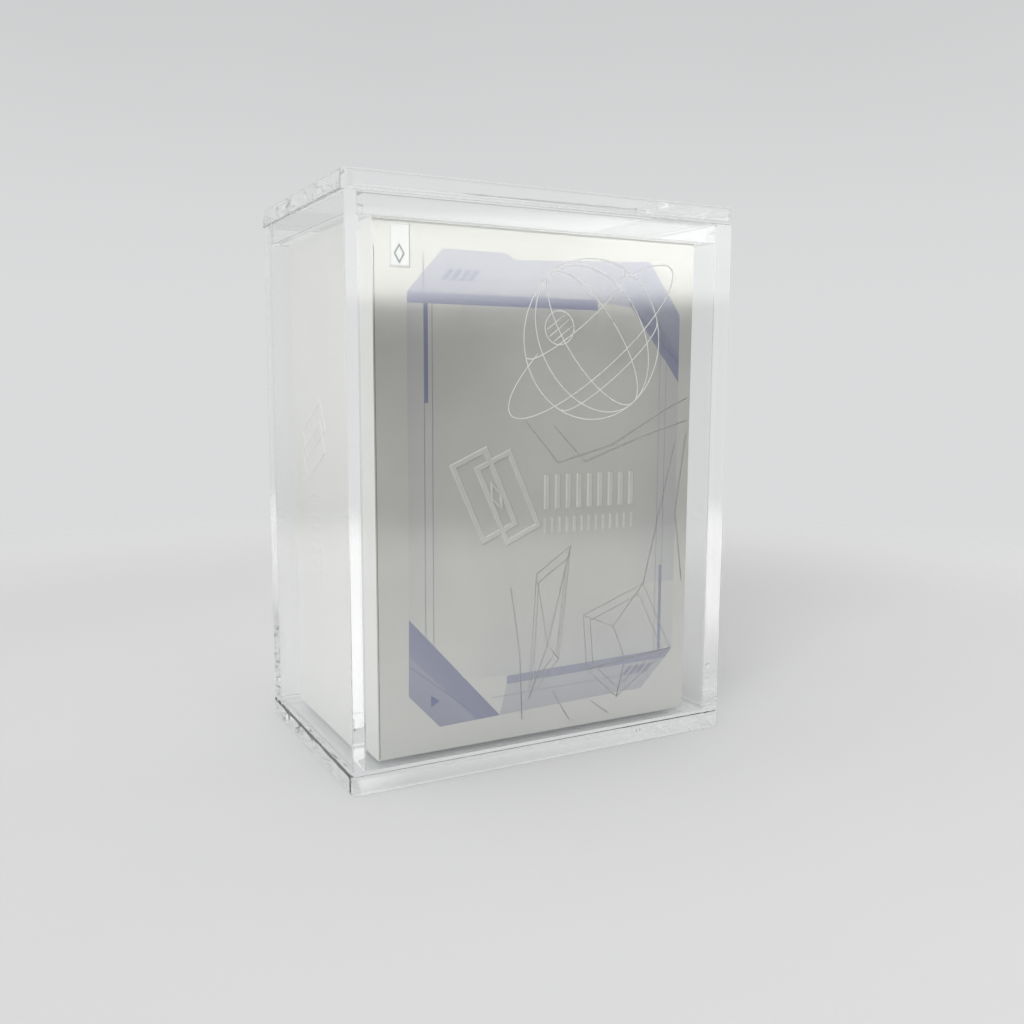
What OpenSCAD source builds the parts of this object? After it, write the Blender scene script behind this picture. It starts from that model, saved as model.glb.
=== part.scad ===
// Card deck box: a clear acrylic display case that holds a telescoping board carton of card decks.
// Origin: centre of the footprint, on the surface that the base plate stands on. +Z is up.
// -Y is the printed front, +X is the right-hand side as the front is faced. Millimetres.

/* [Display case] */
// Width of the four bonded walls, outside
case_w = 158; // [150:1:200]
// Depth of the four bonded walls, outside
case_d = 102; // [94:1:140]
// Height of the whole case with its lid on
case_h = 210; // [205:1:260]
// Thickness of each clear wall panel
wall_t = 5; // [3:0.5:6]
// Thickness of the base plate
base_t = 7; // [4:0.5:10]
// How far the base plate stands out past the walls
base_lip = 1; // [0:0.1:4]
// Radius of the base plate's and the lid's upright corners
corner_r = 3; // [1:0.5:6]

/* [Lift-off lid] */
// Thickness of the lid plate
lid_t = 6.8; // [4:0.2:10]
// How far the lid stands out past the walls
lid_lip = 0.8; // [0:0.1:4]
// Height of the locating rim under the lid
rim_h = 7; // [4:0.5:10]
// Thickness of the rim's strips
rim_t = 3; // [2:0.5:4]
// Play between the rim and the walls on each side
rim_play = 0.3; // [0.2:0.05:1]

/* [Carton] */
// Width of the carton's cover, outside
carton_w = 134; // [134:0.5:136]
// Depth of the carton's cover, outside
carton_d = 82; // [82:0.5:84]
// Height of the carton, from the base plate to its top
carton_h = 189.5; // [186:0.5:190]
// Thickness of the wrapped board in the cover and the tray
board_t = 1.2; // [0.8:0.1:1.4]
// Play between the cover and the tray on each side
cover_play = 0.3; // [0.2:0.05:0.5]
// How far the cover's skirt ends above the tray's underside
skirt_gap = 0.8; // [0.5:0.1:3]
// Width of the blank sticker on the front
sticker_w = 7.6; // [6:0.1:20]
// Height of the blank sticker on the front
sticker_h = 14.8; // [10:0.1:40]

/* [Card decks and fittings] */
// Width of one card
card_w = 63; // [57:0.5:63]
// Height of one card
card_h = 88; // [80:0.5:88]
// Thickness of one card
card_t = 0.305; // [0.28:0.005:0.31]
// Cards in one deck
cards_per_deck = 120; // [40:1:120]
// Thickness of the divider boards
divider_t = 0.8; // [0.5:0.1:1]
// Thickness of the shelf between the two tiers
shelf_t = 1.2; // [0.8:0.1:2]
// Thickness of the foam spacer over the upper tier
spacer_t = 9; // [2:0.5:9]

/* [Hidden] */
arc_steps = 64;
eps = 0.01;
clear = "#dfe6ea90";

wall_h = case_h - base_t - lid_t;
side_wall_d = case_d - 2 * wall_t;
lid_z = case_h - lid_t;
cavity_w = case_w - 2 * wall_t;
cavity_d = case_d - 2 * wall_t;
rim_w = cavity_w - 2 * rim_play;
rim_d = cavity_d - 2 * rim_play;
rim_edge_r = 0.6;

carton_z = base_t;
carton_top = carton_z + carton_h;
tray_w = carton_w - 2 * (board_t + cover_play);
tray_d = carton_d - 2 * (board_t + cover_play);
tray_h = carton_h - board_t;
tray_in_w = tray_w - 2 * board_t;
tray_in_d = tray_d - 2 * board_t;
notch_r = 11;

sticker_t = 0.2;
sticker_side = 6.2;
sticker_top = 1.2;

deck_t = card_t * cards_per_deck;
deck_corner_r = 3;
cell_x = (tray_in_w + divider_t) / 4;
cell_y = (tray_in_d + divider_t) / 4;
fit_play = 0.3;
slot_play = 0.1;
lower_z = carton_z + board_t;
shelf_z = lower_z + card_h;
upper_z = shelf_z + shelf_t;
spacer_z = upper_z + card_h;

// A block centred on x and y that stands on z = 0.
module block(w, d, h) {
    translate([-w / 2, -d / 2, 0]) cube([w, d, h]);
}

// A rectangle with round corners, centred on the origin.
module round_rect(w, d, r) {
    square([w, d - 2 * r], center = true);
    square([w - 2 * r, d], center = true);
    for (sx = [-1, 1], sy = [-1, 1])
        translate([sx * (w / 2 - r), sy * (d / 2 - r)]) circle(r, $fn = arc_steps);
}

// A plate with round upright corners that stands on z = 0.
module round_plate(w, d, h, r) {
    linear_extrude(h) round_rect(w, d, r);
}

// One panel of the case's front or back, over the full width.
module wide_wall(side) {
    translate([0, side * (case_d - wall_t) / 2, base_t]) block(case_w, wall_t, wall_h);
}

// One panel of the case's left or right side, between the wide walls.
module side_wall(side) {
    translate([side * (case_w - wall_t) / 2, 0, base_t]) block(wall_t, side_wall_d, wall_h);
}

module base_plate() {
    color(clear)
        round_plate(case_w + 2 * base_lip, case_d + 2 * base_lip, base_t, corner_r);
}

module front_wall() {
    color(clear) wide_wall(-1);
}

module back_wall() {
    color(clear) wide_wall(1);
}

module left_wall() {
    color(clear) side_wall(-1);
}

module right_wall() {
    color(clear) side_wall(1);
}

module lid_plate() {
    color(clear) translate([0, 0, lid_z])
        round_plate(case_w + 2 * lid_lip, case_d + 2 * lid_lip, lid_t, corner_r);
}

// One strip of the locating rim, lying along x, with a lead-in along its lower outer edge.
module rim_strip(length) {
    translate([length / 2, 0, 0]) rotate([90, 0, -90]) linear_extrude(length)
        polygon([
            [-rim_t / 2, 0], [rim_t / 2 - rim_edge_r, 0], [rim_t / 2, rim_edge_r],
            [rim_t / 2, rim_h], [-rim_t / 2, rim_h]
        ]);
}

// A strip along the front or back of the rim, over its full width.
module rim_wide(side) {
    translate([0, side * (rim_d - rim_t) / 2, lid_z - rim_h])
        rotate([0, 0, side > 0 ? 180 : 0]) rim_strip(rim_w);
}

// A strip along the left or right of the rim, between the wide strips.
module rim_side(side) {
    translate([side * (rim_w - rim_t) / 2, 0, lid_z - rim_h])
        rotate([0, 0, side > 0 ? 90 : -90]) rim_strip(rim_d - 2 * rim_t);
}

module lid_rim_front() {
    color(clear) rim_wide(-1);
}

module lid_rim_back() {
    color(clear) rim_wide(1);
}

module lid_rim_left() {
    color(clear) rim_side(-1);
}

module lid_rim_right() {
    color(clear) rim_side(1);
}

// The carton's lower half: an open box with a thumb notch in the top edge of each side.
module carton_tray() {
    color("#8f9296") translate([0, 0, carton_z]) difference() {
        block(tray_w, tray_d, tray_h);
        translate([0, 0, board_t]) block(tray_in_w, tray_in_d, tray_h);
        translate([-tray_w, 0, tray_h]) rotate([0, 90, 0])
            cylinder(r = notch_r, h = 2 * tray_w, $fn = arc_steps);
    }
}

// The carton's printed cover: a top with four skirts that reach almost to the base plate.
module carton_cover() {
    cover_h = carton_h - skirt_gap;
    color("#e4e4df") translate([0, 0, carton_z + skirt_gap]) difference() {
        block(carton_w, carton_d, cover_h);
        translate([0, 0, -eps])
            block(carton_w - 2 * board_t, carton_d - 2 * board_t, cover_h - board_t + eps);
    }
}

module blank_sticker() {
    color("white")
        translate([
            -carton_w / 2 + sticker_side, -carton_d / 2 - sticker_t,
            carton_top - sticker_top - sticker_h
        ])
        cube([sticker_w, sticker_t, sticker_h]);
}

// The divider between the left and right decks, with a slot down from its top edge.
module long_divider(z) {
    depth = tray_in_d - 2 * fit_play;
    slot = divider_t + 2 * slot_play;
    color("#b9a98e") translate([0, 0, z]) difference() {
        block(divider_t, depth, card_h);
        translate([0, 0, card_h / 2 - slot_play]) block(3 * divider_t, slot, card_h);
    }
}

// The divider between the front and back decks, with a slot up from its bottom edge.
module cross_divider(z) {
    width = tray_in_w - 2 * fit_play;
    slot = divider_t + 2 * slot_play;
    color("#b9a98e") translate([0, 0, z]) difference() {
        block(width, divider_t, card_h);
        translate([0, 0, -eps]) block(slot, 3 * divider_t, card_h / 2 + eps);
    }
}

module lower_long_divider() {
    long_divider(lower_z);
}

module lower_cross_divider() {
    cross_divider(lower_z);
}

module upper_long_divider() {
    long_divider(upper_z);
}

module upper_cross_divider() {
    cross_divider(upper_z);
}

module tier_shelf() {
    color("#b9a98e") translate([0, 0, shelf_z])
        block(tray_in_w - 2 * fit_play, tray_in_d - 2 * fit_play, shelf_t);
}

module top_spacer() {
    color("#4a4d52") translate([0, 0, spacer_z])
        round_plate(tray_in_w - 4 * fit_play, tray_in_d - 4 * fit_play, spacer_t, corner_r);
}

// One deck of cards standing on edge, in the cell on the given side of each divider.
module deck(side_x, side_y, z) {
    color("#c9ccd8") translate([side_x * cell_x, side_y * cell_y, z + card_h / 2])
        rotate([90, 0, 0]) translate([0, 0, -deck_t / 2])
        linear_extrude(deck_t) round_rect(card_w, card_h, deck_corner_r);
}

module lower_deck_front_left() {
    deck(-1, -1, lower_z);
}

module lower_deck_front_right() {
    deck(1, -1, lower_z);
}

module lower_deck_back_left() {
    deck(-1, 1, lower_z);
}

module lower_deck_back_right() {
    deck(1, 1, lower_z);
}

module upper_deck_front_left() {
    deck(-1, -1, upper_z);
}

module upper_deck_front_right() {
    deck(1, -1, upper_z);
}

module upper_deck_back_left() {
    deck(-1, 1, upper_z);
}

module upper_deck_back_right() {
    deck(1, 1, upper_z);
}

base_plate();
front_wall();
back_wall();
left_wall();
right_wall();
lid_plate();
lid_rim_front();
lid_rim_back();
lid_rim_left();
lid_rim_right();
carton_tray();
carton_cover();
blank_sticker();
lower_long_divider();
lower_cross_divider();
tier_shelf();
upper_long_divider();
upper_cross_divider();
top_spacer();
lower_deck_front_left();
lower_deck_front_right();
lower_deck_back_left();
lower_deck_back_right();
upper_deck_front_left();
upper_deck_front_right();
upper_deck_back_left();
upper_deck_back_right();
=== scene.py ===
"""Card deck box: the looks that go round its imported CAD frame. Metres, in the CAD's own frame."""

import math
import random

import bmesh
import bpy
from mathutils import Matrix, Vector, noise

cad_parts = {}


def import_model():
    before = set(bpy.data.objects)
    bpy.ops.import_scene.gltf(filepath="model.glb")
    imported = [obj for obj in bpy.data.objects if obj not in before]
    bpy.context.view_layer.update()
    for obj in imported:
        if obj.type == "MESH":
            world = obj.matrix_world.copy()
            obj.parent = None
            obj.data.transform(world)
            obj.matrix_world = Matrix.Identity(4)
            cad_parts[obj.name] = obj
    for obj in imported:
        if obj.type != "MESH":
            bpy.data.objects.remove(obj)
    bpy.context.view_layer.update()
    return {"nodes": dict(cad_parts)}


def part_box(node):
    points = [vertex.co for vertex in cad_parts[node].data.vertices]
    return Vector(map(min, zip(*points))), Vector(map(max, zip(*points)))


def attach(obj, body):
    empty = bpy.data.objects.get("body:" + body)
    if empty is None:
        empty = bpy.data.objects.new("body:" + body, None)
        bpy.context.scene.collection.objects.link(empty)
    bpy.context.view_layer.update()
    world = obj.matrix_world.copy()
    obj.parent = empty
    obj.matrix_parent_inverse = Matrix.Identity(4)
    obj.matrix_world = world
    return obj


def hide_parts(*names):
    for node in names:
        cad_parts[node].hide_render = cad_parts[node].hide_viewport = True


MM = 0.001
AIR = 0.05 * MM  # gap left between loose pieces that only touch

# ---- camera
CAMERA_PLACE = (-0.1876, -0.3698, 0.1427)
CAMERA_YAW = 28.03  # degrees from +Y towards +X
CAMERA_PITCH = 7.438  # degrees below the horizon
CAMERA_ROLL = 0.2515
CAMERA_LENS = 35.49
SENSOR = 36.0

# ---- studio
# Boxes of light round the object: azimuth from -Y towards +X, elevation, edge softness, radiance.
STUDIO_BASE = 0.07
STUDIO = [
    # az0, az1, el0, el1, soft, radiance
    (-400, 400, 42, 95, 12, 0.86),
    (-122, -48, -12, 46, 14, 0.95),
    (62, 122, -12, 46, 14, 0.50),
    (12, 54, 4.4, 8.8, 0.7, 1.50),
    (12, 54, 4.4, 13.0, 0.7, 0.52),
    (15, 54, 4.8, 13.0, 4.0, 0.35),
    (33, 60, 5.0, 13.0, 3.0, 0.35),
    (27, 60, -9, 2.5, 3.0, 0.34),
    (-40, 27, -9, -1, 3.0, 0.26),
]
STUDIO_BACK = (122, 190, -12, 46, 14, 0.60)  # by the azimuth's size, so that it joins behind
BACKDROP_LOW = (0.700, 0.707, 0.711)
BACKDROP_HIGH = (0.600, 0.609, 0.613)
FLOOR_NEAR = 0.42
FLOOR_FAR = 0.82
FLOOR_DROP = 0.25 * MM
FLOOR_COLOUR = (0.648, 0.649, 0.655)
# The paper to sight that was mirrored on its way through a plate: it stands in for light that the
# plate carries.
FLOOR_THROUGH = (0.930, 0.930, 0.935)
FLOOR_LIFT = 1.14  # how much paler the paper gets towards its fade, where the lamps fall off
# EDGE_GAIN paints light into the clear plates: sight through one plate sees a paler backdrop, a painted
# highlight.
EDGE_GAIN = 0.06  # how much paler the backdrop is to sight that crossed one plate only
# Lamps: name, place, what it is aimed at, size, watts.
LAMPS = [
    ("overhead", (0.15, 0.1, 1.5), (0.0, 0.0, 0.0), (1.2, 1.2), 2.0),
    ("key", (-0.95, -0.95, 0.70), (0.0, 0.0, 0.1), (1.0, 1.0), 10.0),
]

# ---- materials' numbers
ACRYLIC_IOR = 1.49
SIDE_LIGHT = (0.855, 0.850, 0.830)
SIDE_DARK = (0.825, 0.820, 0.800)
# The front's board colour is darker than the sides': partly its silver-grey tint, partly painted shade.
FRONT_LIGHT = (0.625, 0.618, 0.585)
FRONT_DARK = (0.590, 0.583, 0.552)
FRONT_METALLIC = 0.35
# How much paler the front is painted towards its bottom: painted light from below.
FRONT_PAINTED_BOTTOM_LIGHT = 0.55
INK = (0.110, 0.128, 0.320)
INK_STRENGTH = 1.34

# ---- sizes
CORNERS = ((1, 1), (-1, 1), (-1, -1), (1, -1))  # the quarters of a plan, anticlockwise
BOARD = 1.2 * MM  # thickness of the carton's board
WALL_ROUND = 0.50 * MM  # radius of the polished edges of the case's panels
RIM_ROUND = 0.25 * MM
GLUE_LEG = 0.7 * MM  # how far a glue bead reaches along each wall
# Heights over the board, in mm. Each film gets a level of its own, so that no two lie in one plane.
PRINT_LEVEL = 0.02
PRINT_STEP = 0.004
RULE_STEP = 0.003
LINE_LEVEL = 0.12
LINE_STEP = 0.004
MARK_HEIGHT = 0.46  # of the front's raised mark
MARK_STEP = 0.05
SIDE_MARK_HEIGHT = 0.18
SIDE_MARK_STEP = 0.02


# ==== node helpers
def node(tree, kind, inputs=None, **props):
    """Adds a shader node. An input is given a value, or a socket that is linked to it."""
    made = tree.nodes.new("ShaderNode" + kind)
    for key, value in props.items():
        setattr(made, key, value)
    for key, value in (inputs or {}).items():
        if isinstance(value, bpy.types.NodeSocket):
            tree.links.new(value, made.inputs[key])
        else:
            made.inputs[key].default_value = value
    return made


def math_node(tree, operation, a, b=0.0, clamp=False):
    made = node(tree, "Math", {0: a, 1: b}, operation=operation, use_clamp=clamp)
    return made.outputs[0]


def times(tree, a, b, clamp=False):
    return math_node(tree, "MULTIPLY", a, b, clamp)


def remap(tree, value, low, high, to_low=0.0, to_high=1.0, smooth=False):
    kind = "SMOOTHSTEP" if smooth else "LINEAR"
    made = node(tree, "MapRange",
                {"Value": value, "From Min": low, "From Max": high, "To Min": to_low, "To Max": to_high},
                interpolation_type=kind)
    return made.outputs["Result"]


def mix_colour(tree, factor, a, b, blend="MIX"):
    made = node(tree, "Mix", data_type="RGBA", blend_type=blend)
    for index, value in ((0, factor), (6, a), (7, b)):
        if isinstance(value, bpy.types.NodeSocket):
            tree.links.new(value, made.inputs[index])
        elif index == 0:
            made.inputs[0].default_value = value
        else:
            made.inputs[index].default_value = (*value, 1.0)
    return made.outputs[2]


def noise_node(tree, vector, scale, detail=2.0, roughness=0.5):
    made = node(tree, "TexNoise",
                {"Vector": vector, "Scale": scale, "Detail": detail, "Roughness": roughness})
    return made.outputs["Fac"]


def bump(tree, height, strength, distance, normal=None):
    inputs = {"Height": height, "Strength": strength, "Distance": distance}
    if normal is not None:
        inputs["Normal"] = normal
    return node(tree, "Bump", inputs).outputs["Normal"]


def new_material(name):
    """A material with an empty tree. Returns it, its tree and its object coordinates."""
    made = bpy.data.materials.new(name)
    made.use_nodes = True
    tree = made.node_tree
    tree.nodes.clear()
    coords = node(tree, "TexCoord").outputs["Object"]
    return made, tree, coords


def finish_material(tree, shader):
    node(tree, "OutputMaterial", {"Surface": shader})


def finish_surface(tree, colour, rough, normal, extra=None):
    """Ends a material in an opaque surface. extra holds further inputs by their names."""
    inputs = {"Base Color": colour, "Roughness": rough, "Normal": normal, **(extra or {})}
    finish_material(tree, node(tree, "BsdfPrincipled", inputs).outputs[0])


def attribute(tree, name):
    return node(tree, "Attribute", attribute_name=name, attribute_type="GEOMETRY")


# ==== materials
def acrylic_material(name, wave, wave_scale, passing, roughness=0.0):
    """Clear cast acrylic. Lamps and soft light pass straight through, sight bends through it."""
    made, tree, coords = new_material(name)
    broad = noise_node(tree, coords, wave_scale, 2.0, 0.45)
    streaks = node(tree, "Mapping", {"Vector": coords, "Scale": (60.0, 60.0, 1500.0)})
    fine = noise_node(tree, streaks.outputs[0], 1.0, 3.0, 0.6)
    hairs = remap(tree, fine, 0.66, 0.70)
    normal = bump(tree, broad, 1.0, wave)
    normal = bump(tree, hairs, 0.25, 0.004 * MM, normal)
    tint = mix_colour(tree, remap(tree, broad, 0.3, 0.7), (0.985, 0.993, 0.990), (0.993, 0.996, 0.998))
    glass = node(tree, "BsdfPrincipled", {
        "Base Color": tint, "Roughness": roughness, "IOR": ACRYLIC_IOR,
        "Transmission Weight": 1.0, "Normal": normal})
    clear = node(tree, "BsdfTransparent", {"Color": (*passing, 1.0)})
    path = node(tree, "LightPath").outputs
    through = math_node(tree, "MAXIMUM", path["Is Shadow Ray"], path["Is Diffuse Ray"])
    mixed = node(tree, "MixShader",
                 {0: through, 1: glass.outputs[0], 2: clear.outputs[0]})
    finish_material(tree, mixed.outputs[0])
    return made


def board_colour(tree, coords, light, dark):
    """Soft blotches and fine fibres over a board's colour."""
    blotch = noise_node(tree, coords, 38.0, 3.0, 0.55)
    fibre = noise_node(tree, coords, 2600.0, 2.0, 0.5)
    base = mix_colour(tree, remap(tree, blotch, 0.35, 0.65), dark, light)
    colour = mix_colour(tree, remap(tree, fibre, 0.35, 0.65, 0.0, 0.06), base, (0.60, 0.60, 0.58))
    return colour, blotch, fibre


def pearl_board_material(name, light, dark, metallic, bottom_painted_light=0.0, printed=False):
    """Film-coated pearl board: pale, slightly metallic, worn white along its folds.
    bottom_painted_light is how far the colour is painted paler towards the bottom: painted light, for light
    that reaches the board's foot from the floor and the clear base."""
    made, tree, coords = new_material(name)
    colour, blotch, _ = board_colour(tree, coords, light, dark)
    height = node(tree, "SeparateXYZ", {0: coords}).outputs[2]
    # Painted light: the colour turns paler towards the bottom, for light from the floor and the clear base.
    thin = remap(tree, height, 82 * MM, 5 * MM, 0.0, bottom_painted_light, True)
    colour = mix_colour(tree, thin, colour, SIDE_LIGHT)
    wear = attribute(tree, "wear").outputs["Fac"]
    chips = remap(tree, noise_node(tree, coords, 420.0, 3.0, 0.6), 0.50, 0.62)
    worn = times(tree, wear, chips)
    colour = mix_colour(tree, times(tree, worn, 0.55), colour, (0.93, 0.93, 0.91))
    if printed:
        ink = attribute(tree, "ink").outputs["Fac"]
        grain = remap(tree, noise_node(tree, coords, 900.0, 2.0, 0.5), 0.2, 0.8, 0.93, 1.03)
        colour = mix_colour(tree, times(tree, ink, grain, True), colour, INK)
    rough = remap(tree, blotch, 0.3, 0.7, 0.075, 0.105)
    rough = math_node(tree, "ADD", rough, times(tree, worn, 0.25))
    normal = bump(tree, blotch, 0.15, 0.10 * MM)
    finish_surface(tree, colour, rough, normal, {"Metallic": metallic, "IOR": 1.5})
    return made


def relief_material(name, light, dark, metallic, roughness):
    """Raised relief on the board. The line art's pale and grey copies are painted reflections."""
    made, tree, coords = new_material(name)
    cloud = noise_node(tree, coords, 160.0, 3.0, 0.55)
    colour = mix_colour(tree, remap(tree, cloud, 0.35, 0.65), dark, light)
    rough = remap(tree, noise_node(tree, coords, 700.0), 0.3, 0.7, roughness, roughness * 1.35)
    normal = bump(tree, noise_node(tree, coords, 1500.0), 0.12, 0.03 * MM)
    finish_surface(tree, colour, rough, normal, {"Metallic": metallic, "IOR": 1.5})
    return made


def rough_board_material(name, light, dark, fleck):
    """Uncoated board with flecks, fibres and scuffed patches."""
    made, tree, coords = new_material(name)
    colour, blotch, fibre = board_colour(tree, coords, light, dark)
    flecks = remap(tree, noise_node(tree, coords, 1100.0, 1.0, 0.4), 0.66, 0.72)
    colour = mix_colour(tree, times(tree, flecks, 0.5), colour, fleck)
    streak = node(tree, "Mapping", {"Vector": coords, "Scale": (300.0, 300.0, 3500.0)})
    layers = noise_node(tree, streak.outputs[0], 1.0, 2.0, 0.5)
    colour = mix_colour(tree, remap(tree, layers, 0.4, 0.7, 0.0, 0.25), colour, dark)
    rough = remap(tree, blotch, 0.3, 0.7, 0.78, 0.92)
    normal = bump(tree, fibre, 0.4, 0.06 * MM)
    normal = bump(tree, layers, 0.2, 0.05 * MM, normal)
    finish_surface(tree, colour, rough, normal, {"Specular IOR Level": 0.3})
    return made


def label_material(name):
    """Glossy label film, a little dirty at its edges."""
    made, tree, coords = new_material(name)
    cloud = noise_node(tree, coords, 240.0, 3.0, 0.6)
    colour = mix_colour(tree, remap(tree, cloud, 0.35, 0.65), (0.945, 0.948, 0.935), (0.975, 0.975, 0.965))
    edge = attribute(tree, "wear").outputs["Fac"]
    colour = mix_colour(tree, times(tree, edge, 0.35), colour, (0.78, 0.77, 0.74))
    rough = remap(tree, cloud, 0.3, 0.7, 0.13, 0.18)
    normal = bump(tree, noise_node(tree, coords, 2200.0, 2.0, 0.5), 0.15, 0.03 * MM)
    finish_surface(tree, colour, rough, normal, {"Metallic": 0.12})
    return made


def card_material(name):
    """Coated cards: a plain lattice on the backs, and thin white layers on the cut edges, with painted shade
    in the gaps between the cards.
    """
    made, tree, coords = new_material(name)
    card = attribute(tree, "card").outputs["Vector"]
    place = node(tree, "SeparateXYZ", {0: card}).outputs
    wide = math_node(tree, "ABSOLUTE", place[0])
    tall = math_node(tree, "ABSOLUTE", place[1])
    margin = math_node(tree, "MAXIMUM", math_node(tree, "SUBTRACT", wide, 28.0),
                       math_node(tree, "SUBTRACT", tall, 40.5))
    border = remap(tree, margin, -0.06, 0.06)
    rule = node(tree, "Math", {0: margin, 1: -1.6, 2: 0.22}, operation="COMPARE").outputs[0]
    rise = math_node(tree, "PINGPONG", math_node(tree, "ADD", place[0], place[1]), 3.2)
    fall = math_node(tree, "PINGPONG", math_node(tree, "SUBTRACT", place[0], place[1]), 3.2)
    lattice = remap(tree, math_node(tree, "MINIMUM", rise, fall), 0.16, 0.34, 1.0, 0.0)
    diamond = math_node(tree, "ADD", wide, times(tree, tall, 0.66))
    centre = remap(tree, diamond, 13.9, 14.1, 1.0, 0.0)
    field = mix_colour(tree, lattice, (0.235, 0.245, 0.420), (0.420, 0.435, 0.600))
    field = mix_colour(tree, centre, field, (0.640, 0.650, 0.750))
    field = mix_colour(tree, rule, field, (0.760, 0.765, 0.810))
    back = mix_colour(tree, border, field, (0.860, 0.860, 0.850))
    layer = math_node(tree, "PINGPONG", place[2], 0.1525)
    # Darker where one card meets the next: painted shade in the gap between them.
    gap = remap(tree, layer, 0.0, 0.035, 1.0, 0.0)
    shade = noise_node(tree, coords, 900.0, 3.0, 0.6)
    edge = mix_colour(tree, gap, (0.800, 0.800, 0.790), (0.430, 0.430, 0.440))
    edge = mix_colour(tree, remap(tree, shade, 0.3, 0.8, 0.0, 0.3), edge, (0.62, 0.62, 0.66))
    facing = attribute(tree, "back").outputs["Fac"]
    colour = mix_colour(tree, facing, edge, back)
    rough = remap(tree, facing, 0.0, 1.0, 0.75, 0.36)
    relief = times(tree, gap, math_node(tree, "SUBTRACT", 1.0, facing))
    normal = bump(tree, relief, 0.5, -0.05 * MM)
    normal = bump(tree, noise_node(tree, coords, 1400.0, 2.0, 0.5), 0.12, 0.03 * MM, normal)
    finish_surface(tree, colour, rough, normal)
    return made


def foam_material(name):
    """Closed-cell foam: a skin of small cells, darker in the cells' hollows."""
    made, tree, coords = new_material(name)
    cells = node(tree, "TexVoronoi", {"Vector": coords, "Scale": 950.0}).outputs["Distance"]
    cloud = noise_node(tree, coords, 90.0, 4.0, 0.6)
    colour = mix_colour(tree, remap(tree, cloud, 0.3, 0.7), (0.070, 0.072, 0.078), (0.105, 0.107, 0.115))
    colour = mix_colour(tree, remap(tree, cells, 0.0, 0.5, 0.6, 0.0), colour, (0.030, 0.031, 0.034))
    normal = bump(tree, cells, 0.7, 0.20 * MM)
    normal = bump(tree, cloud, 0.4, 0.5 * MM, normal)
    rough = remap(tree, cloud, 0.3, 0.7, 0.88, 0.97)
    finish_surface(tree, colour, rough, normal, {"Specular IOR Level": 0.25})
    return made


def floor_material(name):
    """Pale sweep paper that thins out into the backdrop, and is clear from below."""
    made, tree, coords = new_material(name)
    cloud = noise_node(tree, coords, 5.0, 3.0, 0.5)
    tooth = noise_node(tree, coords, 900.0, 2.0, 0.5)
    pale = tuple(c * 1.012 for c in FLOOR_COLOUR)
    colour = mix_colour(tree, remap(tree, cloud, 0.3, 0.7), FLOOR_COLOUR, pale)
    path = node(tree, "LightPath").outputs
    shallow = math_node(tree, "LESS_THAN", path["Transmission Depth"], 3.0)
    shallow = times(tree, shallow, path["Is Transmission Ray"])
    turned = math_node(tree, "SUBTRACT", path["Ray Depth"], path["Transmission Depth"], True)
    colour = mix_colour(tree, times(tree, shallow, turned), colour, FLOOR_THROUGH)
    far = node(tree, "VectorMath", {0: coords}, operation="LENGTH").outputs["Value"]
    lift = remap(tree, far, 0.30, 0.66, 1.0, FLOOR_LIFT, True)
    colour = node(tree, "VectorMath", {0: colour, 1: lift}, operation="MULTIPLY").outputs["Vector"]
    normal = bump(tree, tooth, 0.08, 0.05 * MM)
    surface = node(tree, "BsdfDiffuse",
                   {"Color": colour, "Roughness": 0.6, "Normal": normal})
    fade = remap(tree, far, FLOOR_NEAR, FLOOR_FAR, 0.0, 1.0, smooth=True)
    below = node(tree, "NewGeometry").outputs["Backfacing"]
    clear = node(tree, "BsdfTransparent")
    mixed = node(tree, "MixShader", {
        0: math_node(tree, "MAXIMUM", fade, below), 1: surface.outputs[0], 2: clear.outputs[0]})
    finish_material(tree, mixed.outputs[0])
    return made


# ==== mesh helpers
def piece(name, bm, materials, body, replaces=()):
    """Makes a mesh object of bm, riding on a body, standing for the CAD nodes it replaces."""
    mesh = bpy.data.meshes.new(name)
    bm.to_mesh(mesh)
    bm.free()
    for material in materials:
        mesh.materials.append(material)
    made = bpy.data.objects.new(name, mesh)
    bpy.context.scene.collection.objects.link(made)
    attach(made, body)
    if replaces:
        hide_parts(*replaces)
    return made


class Builder:
    """Collects vertices by their place, so that faces that meet share them."""

    def __init__(self):
        self.bm = bmesh.new()
        self.known = {}

    def vertex(self, place):
        key = tuple(round(c * 1e7) for c in place)
        if key not in self.known:
            self.known[key] = self.bm.verts.new(place)
        return self.known[key]

    def face(self, places, smooth=False, material=0):
        corners = []
        for place in places:
            found = self.vertex(place)
            if found not in corners:
                corners.append(found)
        if len(corners) < 3:
            return None
        made = self.bm.faces.new(corners)
        made.smooth = smooth
        made.material_index = material
        return made


def box_surface(build, low, high, cuts=((), (), ()), skip=None, inward=False):
    """A box's surface, cut along each axis, without the patches that skip(axis, side, centre) drops."""
    steps = [sorted({low[a], high[a], *cuts[a]}) for a in range(3)]
    for axis in range(3):
        b, c = (axis + 1) % 3, (axis + 2) % 3
        for side in (0, 1):
            level = (low, high)[side][axis]
            for b0, b1 in zip(steps[b], steps[b][1:]):
                for c0, c1 in zip(steps[c], steps[c][1:]):
                    centre = [0.0, 0.0, 0.0]
                    centre[axis], centre[b], centre[c] = level, (b0 + b1) / 2, (c0 + c1) / 2
                    if skip and skip(axis, side, centre):
                        continue
                    ring = []
                    for vb, vc in ((b0, c0), (b1, c0), (b1, c1), (b0, c1)):
                        place = [0.0, 0.0, 0.0]
                        place[axis], place[b], place[c] = level, vb, vc
                        ring.append(place)
                    if (side == 0) != inward:
                        ring.reverse()
                    build.face(ring)


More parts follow.
